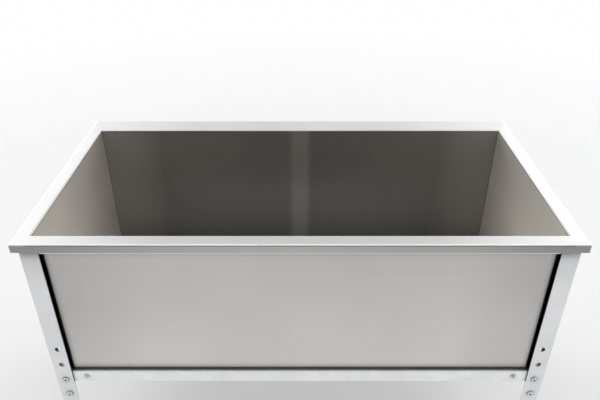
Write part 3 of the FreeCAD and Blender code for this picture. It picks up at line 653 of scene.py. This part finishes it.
# ---- surfaces -----------------------------------------------------------------------------
@dataclass
class Skin:
    """A smooth mesh put together from grids of points in millimetres."""

    name: str
    finish: Finish
    body: str = "sink"
    sharp_degrees: float = 50.0
    points: list[np.ndarray] = field(default_factory=list)
    faces: list[list[int]] = field(default_factory=list)
    size: int = 0

    def add(self, grid: np.ndarray, round_rows: bool = False, capped: bool = False) -> None:
        """Adds a grid of points, whose cell (i, j) becomes the face p[i,j] p[i,j+1] p[i+1,j+1] p[i+1,j].

        Args:
            grid: the points, as rows by columns by 3.
            round_rows: joins each row's last point to its first.
            capped: closes the first and the last row with flat faces.
        """
        rows, columns = grid.shape[:2]
        index = np.arange(rows * columns).reshape(rows, columns) + self.size
        turned = np.hstack([index, index[:, :1]]) if round_rows else index
        cells = np.stack([turned[:-1, :-1], turned[:-1, 1:], turned[1:, 1:], turned[1:, :-1]], axis=-1)
        self.points.append(grid.reshape(-1, 3))
        self.faces.extend(cells.reshape(-1, 4).tolist())
        self.size += rows * columns
        if capped:
            self.faces.append(index[0][::-1].tolist())
            self.faces.append(index[-1].tolist())

    def make(self) -> bpy.types.Object:
        """Builds the mesh, which rides on its body and takes its finish's material.

        Returns:
            The new object.
        """
        mesh = bpy.data.meshes.new(self.name)
        mesh.from_pydata((np.concatenate(self.points) * MM).tolist(), [], self.faces)
        mesh.shade_smooth()
        mesh.set_sharp_from_angle(angle=math.radians(self.sharp_degrees))
        mesh.materials.append(self.finish.material())
        made = bpy.data.objects.new(self.name, mesh)
        bpy.context.scene.collection.objects.link(made)
        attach(made, self.body)
        log.info("%s: %d faces", self.name, len(self.faces))
        return made


def axes_about(axis: tuple[float, float, float]) -> tuple[np.ndarray, np.ndarray, np.ndarray]:
    """An axis as a unit vector, with two others across it that make a right-handed set.

    Args:
        axis: the axis.

    Returns:
        The first and second vectors across it, and the axis.
    """
    along = np.array(axis, dtype=float) / np.linalg.norm(axis)
    helper = np.array([1.0, 0.0, 0.0]) if abs(along[0]) < 0.9 else np.array([0.0, 1.0, 0.0])
    first = np.cross(helper, along)
    first /= np.linalg.norm(first)
    return first, np.cross(along, first), along


def swept(start: tuple[float, float, float], axis: tuple[float, float, float], reach: np.ndarray,
          radius: np.ndarray, angles: np.ndarray) -> np.ndarray:
    """Points start + reach[i] axis + radius[i,j] (first cos angle[j] + second sin angle[j]).

    Args:
        start: where the axis starts.
        axis: its direction.
        reach: the distance along it of each row.
        radius: the distance from it of each point.
        angles: the angle of each column.

    Returns:
        The grid of points.
    """
    first, second, along = axes_about(axis)
    spokes = np.cos(angles)[:, None] * first + np.sin(angles)[:, None] * second
    return np.array(start) + reach[:, None, None] * along + radius[:, :, None] * spokes[None]


@dataclass(frozen=True)
class Thread:
    """A screw thread: its crest and root radii and its pitch, in millimetres."""

    crest: float
    root: float
    pitch: float
    steps: int = 8
    columns: int = 28
    steepness: float = 1.3

    def grid(self, start: tuple[float, float, float], axis: tuple[float, float, float],
             length: float) -> np.ndarray:
        """The thread's surface, whose depth follows the triangle wave of reach / pitch - angle / turn.

        The wave is squared off a little at crest and root, and fades out over one pitch at both ends.

        Args:
            start: where its axis starts.
            axis: the direction of its axis.
            length: how long it is.

        Returns:
            The grid of points.
        """
        rows = max(self.steps, int(length / self.pitch * self.steps)) + 1
        reach = np.linspace(0.0, length, rows)
        angles = np.linspace(0.0, 2 * np.pi, self.columns, endpoint=False)
        phase = reach[:, None] / self.pitch - angles[None] / (2 * np.pi)
        wave = np.abs(2 * (phase % 1.0) - 1.0)
        wave = np.clip(0.5 + self.steepness * (wave - 0.5), 0.0, 1.0)
        ends = np.minimum(reach, length - reach)[:, None] / self.pitch
        radius = self.root + (self.crest - self.root) * wave * np.clip(ends, 0.0, 1.0)
        return swept(start, axis, reach, radius, angles)


@dataclass(frozen=True)
class Bead:
    """A weld bead with the ripples of its run, in millimetres."""

    radius: float
    ripple: float
    pitch: float
    steps: int = 6
    round_columns: int = 12
    fillet_columns: int = 7
    lag: float = 0.6

    def reach(self, length: float) -> np.ndarray:
        """Distances along the bead, in even steps."""
        return np.linspace(0.0, length, int(length / self.pitch * self.steps) + 1)

    def ripples(self, reach: np.ndarray, angles: np.ndarray, middle: float) -> np.ndarray:
        """The radius r + ripple |sin(pi s / pitch)|, where s lags away from the middle of the bead.

        Args:
            reach: the distance along it of each row.
            angles: the angle of each column.
            middle: the angle of the bead's middle.

        Returns:
            The radius of each point.
        """
        late = reach[:, None] - self.lag * self.pitch * (1 - np.cos(angles - middle))[None]
        return self.radius + self.ripple * np.abs(np.sin(np.pi * late / self.pitch))

    def outside(self, start: tuple[float, float, float], axis: tuple[float, float, float],
                length: float) -> np.ndarray:
        """A round bead that runs along an outer edge.

        Args:
            start: where the edge starts.
            axis: its direction.
            length: how long it is.

        Returns:
            The grid of points, whose rows are closed.
        """
        reach = self.reach(length)
        angles = np.linspace(0.0, 2 * np.pi, self.round_columns, endpoint=False)
        return swept(start, axis, reach, self.ripples(reach, angles, 0.0), angles)

    def inside(self, corner: tuple[float, float, float], end: tuple[float, float, float],
               first: tuple[float, float, float], second: tuple[float, float, float]) -> np.ndarray:
        """A hollow fillet that fills an inner corner.

        Its row points are corner + a (1 - sin t) first + a (1 - cos t) second, with a from ripples.

        Args:
            corner: where the corner's line starts.
            end: where it ends.
            first: the direction along one face, away from the corner.
            second: the direction along the other.

        Returns:
            The grid of points.
        """
        line = np.array(end) - np.array(corner)
        length = float(np.linalg.norm(line))
        reach = self.reach(length)
        turn = np.linspace(0.0, np.pi / 2, self.fillet_columns)
        size = self.ripples(reach, turn, np.pi / 4)
        one, two = np.array(first, dtype=float), np.array(second, dtype=float)
        base = np.array(corner) + reach[:, None, None] / length * line
        return (base + (size * (1 - np.sin(turn)))[:, :, None] * one
                + (size * (1 - np.cos(turn)))[:, :, None] * two)


# ---- pieces of the sink -------------------------------------------------------------------
FRAME_MIDDLE = -16.5


@dataclass(frozen=True)
class Corner:
    """A corner of the frame.

    Its side is 1 at the right and -1 at the left. Its way is 1 at the front and -1 at the back.
    """

    name: str
    side: int
    way: int

    def place(self, x: float, y: float, z: float) -> tuple[float, float, float]:
        """A point of the front right corner, mirrored to this one."""
        return (self.side * x, y if self.way > 0 else 2 * FRAME_MIDDLE - y, z)

    def turn(self, x: float, y: float, z: float) -> tuple[float, float, float]:
        """A direction of the front right corner, mirrored to this one."""
        return (self.side * x, self.way * y, z)


CORNERS = (Corner("front_right", 1, 1), Corner("front_left", -1, 1),
           Corner("back_right", 1, -1), Corner("back_left", -1, -1))


def dress(prefix: str, finish: Finish) -> list[str]:
    """Gives a finish to every CAD node whose name starts with a prefix.

    Args:
        prefix: the start of the names.
        finish: the finish.

    Returns:
        The names of the nodes.
    """
    names = [name for name in sorted(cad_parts) if name.startswith(prefix)]
    for name in names:
        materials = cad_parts[name].data.materials
        materials.clear()
        materials.append(finish.material())
    return names


@dataclass
class Part:
    """A sub-assembly: the finishes of its CAD nodes, and the pieces that it adds.

    Each finish goes to the nodes whose names start with its key, and a later key counts over an
    earlier one.
    """

    finishes: dict[str, Finish] = field(default_factory=dict)

    def make(self) -> None:
        """Dresses the nodes, builds the added pieces and reports them."""
        names = {name for prefix, finish in self.finishes.items() for name in dress(prefix, finish)}
        pieces = self.build()
        log.info("%s: %d nodes dressed, %d pieces added", type(self).__name__, len(names), len(pieces))

    def build(self) -> list[bpy.types.Object]:
        """Builds the pieces that this sub-assembly adds to the CAD nodes."""
        return []


@dataclass
class Tub(Part):
    """The welded tub: folded shell and two end panels."""

    finishes: dict[str, Finish] = field(default_factory=lambda: {
        "tub_shell": SHELL_STEEL, "end_panel": END_STEEL})
    bowl_half: float = 567.0
    bowl_front: float = -278.0
    bowl_back: float = 245.0
    bowl_floor: float = 458.0
    rim: float = 850.0
    sheet: float = 1.5
    apron: float = 20.0
    bend: float = 1.5
    seam: Bead = Bead(2.2, 0.10, 1.8)
    bead: Bead = Bead(1.6, 0.25, 1.8)

    def build(self) -> list[bpy.types.Object]:
        """Welds in the bowl's inner corners, and beads down its outer ones.

        Returns:
            The welds.
        """
        inner = Skin("bowl_corner_welds", WELD)
        outer = Skin("tub_outside_welds", WELD)
        top, low = self.rim - self.sheet - self.bend, self.bowl_floor
        for side in (-1, 1):
            x = side * self.bowl_half
            for y, way in ((self.bowl_front, 1), (self.bowl_back, -1)):
                grid = self.seam.inside((x, y, low), (x, y, top), (-side, 0, 0), (0, way, 0))
                inner.add(grid[:, ::-1] if side * way > 0 else grid)
                edge = (x + side * self.sheet, y - way * self.sheet, low)
                outer.add(self.bead.outside(edge, (0, 0, 1), self.rim - self.apron - low), True, True)
            grid = self.seam.inside((x, self.bowl_front, low), (x, self.bowl_back, low),
                                    (-side, 0, 0), (0, 0, 1))
            inner.add(grid if side > 0 else grid[:, ::-1])
        return [inner.make(), outer.make()]


@dataclass
class Frame(Part):
    """Legs, rails, brackets and their fasteners."""

    finishes: dict[str, Finish] = field(default_factory=lambda: {
        "leg_front": GALVANISED, "leg_back": GALVANISED, "bottom_rail": BOTTOM_RAIL,
        "top_rail": TOP_RAIL, "corner_bracket": GALVANISED, "leg_bolt": ZINC,
        "leg_spacers": ZINC, "rail_screw": ZINC})
    tail: float = 1.8
    bolt_thread: Thread = Thread(4.15, 3.95, 1.25)
    screw_thread: Thread = Thread(3.12, 2.95, 1.0)
    bolt_ends: tuple[tuple[float, float, float], ...] = (
        (580.0, -274.6, 828.0), (573.5, -274.1, 431.0), (573.5, -274.1, 381.0))
    rail_screw_end: tuple[float, float, float] = (521.5, -275.7, 439.0)
    side_screw_end: tuple[float, float, float] = (581.7, -215.5, 439.0)
    weld: Bead = Bead(1.5, 0.25, 1.8)
    weld_length: float = 30.0
    front_weld: tuple[float, float, float] = (557.0, -288.4, 51.3)
    side_weld: tuple[float, float, float] = (594.4, -251.0, 51.3)

    def build(self) -> list[bpy.types.Object]:
        """Threads on the ends of bolts and screws, and the welds of the foot brackets.

        Returns:
            The threads and the welds.
        """
        threads = Skin("bolt_end_threads", ZINC)
        welds = Skin("foot_bracket_welds", GREY_WELD)
        for corner in CORNERS:
            inward, sideways = corner.turn(0, 1, 0), corner.turn(-1, 0, 0)
            ends = [(end, inward, self.bolt_thread) for end in self.bolt_ends]
            ends += [(self.rail_screw_end, inward, self.screw_thread),
                     (self.side_screw_end, sideways, self.screw_thread)]
            for end, way, thread in ends:
                start = np.array(corner.place(*end)) - self.tail * np.array(way)
                threads.add(thread.grid(start, way, self.tail), True)
            for start, way in ((self.front_weld, (1, 0, 0)), (self.side_weld, (0, -1, 0))):
                bead = self.weld.outside(corner.place(*start), corner.turn(*way), self.weld_length)
                welds.add(bead, True, True)
        return [threads.make(), welds.make()]


@dataclass
class Feet(Part):
    """Foot brackets, lock nuts, stems and pads."""

    finishes: dict[str, Finish] = field(default_factory=lambda: {
        "foot_bracket": GALVANISED, "foot_lock_nuts": ZINC, "foot_stem": ZINC, "foot_pad": BLACK_PAD})
    thread: Thread = Thread(5.0, 4.15, 1.5)
    stem: tuple[float, float] = (574.0, -268.0)
    pad_seat: float = 9.0
    hexagon_low: float = 14.0
    hexagon_high: float = 21.0
    hexagon_width: float = 13.0
    bevel: float = 0.8
    top: float = 87.0
    overlap: float = 0.5
    columns: int = 32

    def build(self) -> list[bpy.types.Object]:
        """A threaded stem for each foot, with a bevelled hexagon.

        Returns:
            The stems.
        """
        return [self.threaded_stem(corner) for corner in CORNERS]

    def threaded_stem(self, corner: Corner) -> bpy.types.Object:
        """One foot's stem, in place of the plain one.

        Args:
            corner: the foot's corner.

        Returns:
            The stem.
        """
        skin = Skin(f"threaded_stem_{corner.name}", ZINC, f"foot_{corner.name}")
        up = (0, 0, 1)
        x, y = self.stem
        foot = corner.place(x, y, self.pad_seat)
        shank = np.array([0.0, self.hexagon_low - self.pad_seat])
        turn = np.linspace(0.0, 2 * np.pi, self.columns, endpoint=False)
        skin.add(swept(foot, up, shank, np.full((2, self.columns), self.thread.crest), turn), True, True)
        height = self.hexagon_high - self.hexagon_low
        reach = np.array([0.0, self.bevel / 2, height - self.bevel / 2, height])
        wide = self.hexagon_width / math.sqrt(3)
        radius = np.repeat(np.array([wide - self.bevel, wide, wide, wide - self.bevel])[:, None], 6, axis=1)
        corners = np.linspace(0.0, 2 * np.pi, 6, endpoint=False)
        skin.add(swept(corner.place(x, y, self.hexagon_low), up, reach, radius, corners), True, True)
        start = corner.place(x, y, self.hexagon_high - self.overlap)
        skin.add(self.thread.grid(start, up, self.top - self.hexagon_high + self.overlap), True, True)
        made = skin.make()
        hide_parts(f"foot_stem_{corner.name}")
        return made


@dataclass
class Waste(Part):
    """The waste under the bowl and the strainer that lifts out of it."""

    finishes: dict[str, Finish] = field(default_factory=lambda: {
        "waste_cup": CUP_STEEL, "waste_gasket": RUBBER, "waste_rubber_washer": RUBBER,
        "waste_friction_ring": FIBRE, "waste_back_nut": GREY_NUT, "coupling_nut": GREY_NUT,
        "tailpiece": CHROME, "tailpiece_washer": RUBBER, "strainer_basket": CUP_STEEL,
        "strainer_stopper": RUBBER, "strainer_post": CHROME})
    centre: tuple[float, float] = (0.0, -16.0)
    body_thread: Thread = Thread(43.75, 43.45, 1.6, columns=96)
    body_low: float = 428.6
    body_high: float = 437.5
    neck_thread: Thread = Thread(24.1, 23.85, 1.6, columns=64)
    neck_low: float = 400.5
    neck_high: float = 403.4

    def build(self) -> list[bpy.types.Object]:
        """The threads of the waste's body and neck where they show.

        Returns:
            The threads.
        """
        skin = Skin("waste_threads", CUP_STEEL)
        for thread, low, high in ((self.body_thread, self.body_low, self.body_high),
                                  (self.neck_thread, self.neck_low, self.neck_high)):
            skin.add(thread.grid((*self.centre, low), (0, 0, 1), high - low), True)
        return [skin.make()]


# ---- studio -------------------------------------------------------------------------------
@dataclass(frozen=True)
class Panel:
    """A soft lit panel far round the sink, by its middle and half sizes in degrees.

    Azimuth 0 is straight behind the sink and 90 is to its right. Elevation 90 is overhead.
    """

    azimuth: float
    elevation: float
    half_width: float
    half_height: float
    level: float
    fade: float = 8.0

    def strength(self, sketch: Sketch, azimuth: bpy.types.NodeSocket,
                 elevation: bpy.types.NodeSocket) -> bpy.types.NodeSocket:
        """The panel's light: its level inside, which fades to nothing round its edges.

        Args:
            sketch: the world's sketch.
            azimuth: the azimuth of a ray, in degrees.
            elevation: its elevation, in degrees.

        Returns:
            The light along that ray.
        """
        aside = sketch.maths("WRAP", sketch.maths("SUBTRACT", azimuth, self.azimuth), 180.0, -180.0)
        above = sketch.maths("SUBTRACT", elevation, self.elevation)
        result: Any = self.level
        for offset, half in ((aside, self.half_width), (above, self.half_height)):
            away = sketch.maths("ABSOLUTE", offset)
            shade = sketch.ranged(away, half - self.fade / 2, half + self.fade / 2, 1.0, 0.0)
            result = sketch.maths("MULTIPLY", result, shade)
        return result


@dataclass
class Studio:
    """A pale floor, a surround of soft panels and the camera."""

    floor_half: float = 20.0
    floor_colour: tuple[float, float, float] = (0.80, 0.80, 0.806)
    near_glow: float = 0.0
    far_glow: float = 0.95
    near: float = 1.95
    far: float = 4.2
    ambient: float = 0.02
    camera_place: tuple[float, float, float] = (0.0, -1.3059, 1.56475)
    camera_pitch: float = 58.6
    camera_lens: float = 35.64
    panels: tuple[Panel, ...] = (
        Panel(-60, 10, 22, 15, 4.8), Panel(60, 10, 22, 15, 4.6),
        Panel(-97, 10, 15, 15, 3.2), Panel(97, 10, 15, 15, 3.4),
        Panel(-86, 40, 26, 17, 1.4), Panel(86, 40, 26, 17, 1.4),
        Panel(-90, 68, 34, 11, 3.0), Panel(90, 68, 34, 11, 3.0),
        Panel(-30, 18, 8, 22, 2.4), Panel(30, 18, 8, 22, 3.0),
        Panel(-15, 10, 8, 15, 2.2), Panel(15, 10, 8, 15, 2.2),
        Panel(0, 90, 180, 14, 2.4), Panel(180, 7, 55, 13, 0.8))

    def make(self) -> None:
        """Builds the studio."""
        self.make_floor()
        self.make_surround()
        self.make_camera()
        log.info("Studio: floor, surround of %d panels, camera", len(self.panels))

    def seen(self, sketch: Sketch) -> bpy.types.NodeSocket:
        """1 for rays from the camera, or by way of metal or glass, and 0 for the rest."""
        path = sketch.add("LightPath").outputs
        seen = sketch.maths("MAXIMUM", path["Is Camera Ray"], path["Is Glossy Ray"])
        return sketch.maths("MAXIMUM", seen, path["Is Transmission Ray"])

    def make_floor(self) -> None:
        """A pale floor that keeps the shadow and stays near white to the eye."""
        material = bpy.data.materials.new("pale_floor")
        material.use_nodes = True
        sketch = Sketch(material.node_tree)
        sketch.tree.nodes.remove(sketch.tree.nodes["Principled BSDF"])
        colour = (*self.floor_colour, 1.0)
        matt = sketch.add("BsdfDiffuse", {"Color": colour})
        glow = sketch.add("Emission", {"Color": (1.0, 1.0, 1.0, 1.0), "Strength": 1.0})
        place = sketch.add("TexCoord").outputs["Object"]
        distance = sketch.add("VectorMath", {0: place}, operation="LENGTH").outputs["Value"]
        level = sketch.ranged(distance, self.near, self.far, self.near_glow, self.far_glow)
        share = sketch.maths("MULTIPLY", self.seen(sketch), level)
        mixed = sketch.add("MixShader", {0: share, 1: matt.outputs[0], 2: glow.outputs[0]})
        out = sketch.tree.nodes["Material Output"]
        sketch.tree.links.new(mixed.outputs[0], out.inputs["Surface"])
        corners = ((-1, -1), (1, -1), (1, 1), (-1, 1))
        mesh = bpy.data.meshes.new("floor")
        mesh.from_pydata([(self.floor_half * x, self.floor_half * y, 0.0) for x, y in corners], [],
                         [(0, 1, 2, 3)])
        mesh.materials.append(material)
        made = bpy.data.objects.new("floor", mesh)
        bpy.context.scene.collection.objects.link(made)

    def make_surround(self) -> None:
        """Lit panels round the sink, dimmest in front of it, and white where nothing else is seen."""
        world = bpy.context.scene.world or bpy.data.worlds.new("surround")
        bpy.context.scene.world = world
        world.use_nodes = True
        sketch = Sketch(world.node_tree)
        way = sketch.add("SeparateXYZ", {0: sketch.add("TexCoord").outputs["Generated"]}).outputs
        azimuth = sketch.maths("DEGREES", sketch.maths("ARCTAN2", way[0], way[1]))
        elevation = sketch.maths("DEGREES", sketch.maths("ARCSINE", way[2]))
        total: Any = self.ambient
        for panel in self.panels:
            total = sketch.maths("ADD", total, panel.strength(sketch, azimuth, elevation))
        lit = sketch.tree.nodes["Background"]
        lit.inputs["Color"].default_value = (1.0, 1.0, 1.0, 1.0)
        sketch.tree.links.new(total, lit.inputs["Strength"])
        white = sketch.add("Background", {"Color": (1.0, 1.0, 1.0, 1.0), "Strength": 1.0})
        direct = sketch.add("LightPath").outputs["Is Camera Ray"]
        mixed = sketch.add("MixShader", {0: direct, 1: lit.outputs[0], 2: white.outputs[0]})
        sketch.tree.links.new(mixed.outputs[0], sketch.tree.nodes["World Output"].inputs["Surface"])

    def make_camera(self) -> None:
        """The camera at the photograph's place."""
        data = bpy.data.cameras.new("camera")
        data.lens = self.camera_lens
        camera = bpy.data.objects.new("camera", data)
        bpy.context.scene.collection.objects.link(camera)
        camera.location = self.camera_place
        camera.rotation_euler = (math.radians(self.camera_pitch), 0.0, 0.0)
        bpy.context.scene.camera = camera


def main() -> None:
    """Builds the sub-assemblies in order, then the studio."""
    bpy.context.scene.view_settings.view_transform = "Standard"
    for part in (Tub(), Frame(), Feet(), Waste()):
        part.make()
    Studio().make()


if __name__ == "__main__":
    main()
